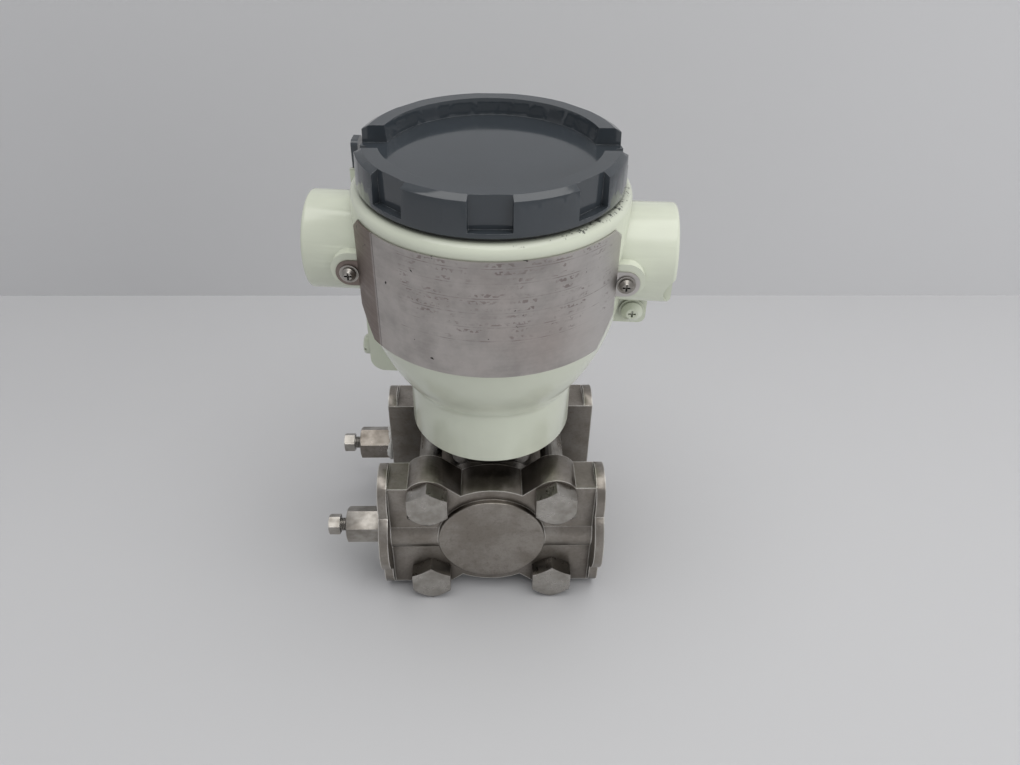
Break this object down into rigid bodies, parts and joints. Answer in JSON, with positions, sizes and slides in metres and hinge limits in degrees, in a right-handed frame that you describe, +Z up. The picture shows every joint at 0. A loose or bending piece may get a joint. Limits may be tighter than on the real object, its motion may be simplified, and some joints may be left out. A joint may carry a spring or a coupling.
{
  "type": "differential pressure transmitter",
  "caption": "Differential pressure transmitter: enamelled round housing with a screwed cover and two cable entries, on a cell clamped between two stainless process flanges.",
  "frame": {"origin": "on the vertical axis of the measuring cell, at the height of the lowest lobes of the flanges", "axes": "+Z up, X through the two cable entries (the plugged one on -X), -Y the side with the nameplate"},
  "size_m": [0.1415, 0.1027, 0.2014],
  "materials": {
    "stainless_cast": "satin, bead-blasted casting",
    "stainless_machined": "turned, semi-gloss",
    "stainless_bolt": "forged, semi-gloss",
    "housing_enamel": "gloss enamel, pale green-white",
    "cover_enamel": "gloss enamel, blue-grey",
    "nameplate_steel": "worn brushed sheet",
    "black_rubber": "matt",
    "black_plastic": "gloss",
    "white_ptfe": "matt",
    "board_green": "solder mask",
    "case_plastic": "moulded",
    "terminal_plastic": "moulded",
    "plated_brass": "nickel-tinted",
    "header_glass": "glass-sealed"
  },
  "bodies": {
    "process_side": {"front_flange": "stainless_cast", "rear_flange": "stainless_cast", "flange_bolts": "stainless_bolt", "flange_nuts": "stainless_bolt", "cell_body": "stainless_machined", "front_diaphragm": "stainless_machined", "rear_diaphragm": "stainless_machined", "front_flange_seal": "white_ptfe", "rear_flange_seal": "white_ptfe", "sensor_neck": "stainless_machined", "neck_seal": "black_rubber", "sensor_header": "header_glass", "front_vent_body": "stainless_machined", "rear_vent_body": "stainless_machined"},
    "head": {"housing": "housing_enamel", "cover_lock_clamp": "cover_enamel", "cover_lock_screw": "stainless_bolt", "nameplate": "nameplate_steel", "nameplate_washers": "stainless_bolt", "nameplate_screws": "stainless_bolt", "ground_screw": "housing_enamel", "ground_washer": "housing_enamel", "conduit_plug": "black_plastic", "zero_screw_seal": "black_rubber", "housing_set_screws": "stainless_bolt", "board_spacers": "plated_brass", "circuit_board": "board_green", "electronics_case": "case_plastic", "case_screws": "stainless_bolt", "terminal_block": "terminal_plastic", "terminal_screws": "plated_brass", "sensor_lead": "black_plastic"},
    "cover_ring": {"cover_seal": "black_rubber"},
    "cover": {"top_cover": "cover_enamel"},
    "front_vent_seat": {"front_vent_ball": "stainless_machined"},
    "front_vent_screw": {"front_vent_stem": "stainless_machined"},
    "rear_vent_seat": {"rear_vent_ball": "stainless_machined"},
    "rear_vent_screw": {"rear_vent_stem": "stainless_machined"},
    "zero_adjuster": {"zero_screw": "housing_enamel"}
  },
  "joints": [
    {"name": "head_turn", "type": "hinge", "parent": "process_side", "child": "head", "pos_m": [0, 0, 0.088], "axis": [0, 0, 1], "range_deg": [-180, 180]},
    {"name": "cover_lift", "type": "slide", "parent": "head", "child": "cover_ring", "axis": [0, 0, 1], "range_m": [0, 0.0091]},
    {"name": "cover_turn", "type": "hinge", "parent": "cover_ring", "child": "cover", "pos_m": [0, 0, 0.19], "axis": [0, 0, 1], "range_deg": [0, 2160]},
    {"name": "front_vent_travel", "type": "slide", "parent": "process_side", "child": "front_vent_seat", "axis": [-1, 0, 0], "range_m": [0, 0.00152]},
    {"name": "front_vent_turn", "type": "hinge", "parent": "front_vent_seat", "child": "front_vent_screw", "pos_m": [-0.062, -0.027, 0.03405], "axis": [-1, 0, 0], "range_deg": [0, 540]},
    {"name": "rear_vent_travel", "type": "slide", "parent": "process_side", "child": "rear_vent_seat", "axis": [-1, 0, 0], "range_m": [0, 0.00152]},
    {"name": "rear_vent_turn", "type": "hinge", "parent": "rear_vent_seat", "child": "rear_vent_screw", "pos_m": [-0.062, 0.027, 0.03405], "axis": [-1, 0, 0], "range_deg": [0, 540]},
    {"name": "zero_turn", "type": "hinge", "parent": "head", "child": "zero_adjuster", "pos_m": [-0.05129, 0.01717, 0.101], "axis": [-0.9968, 0.0802, 0], "continuous": true}
  ],
  "couplings": [
    {"joint": "cover_lift", "follows": "cover_turn", "m_per_rad": 0.00023873},
    {"joint": "front_vent_travel", "follows": "front_vent_turn", "m_per_rad": 0.00015915},
    {"joint": "rear_vent_travel", "follows": "rear_vent_turn", "m_per_rad": 0.00015915}
  ]
}
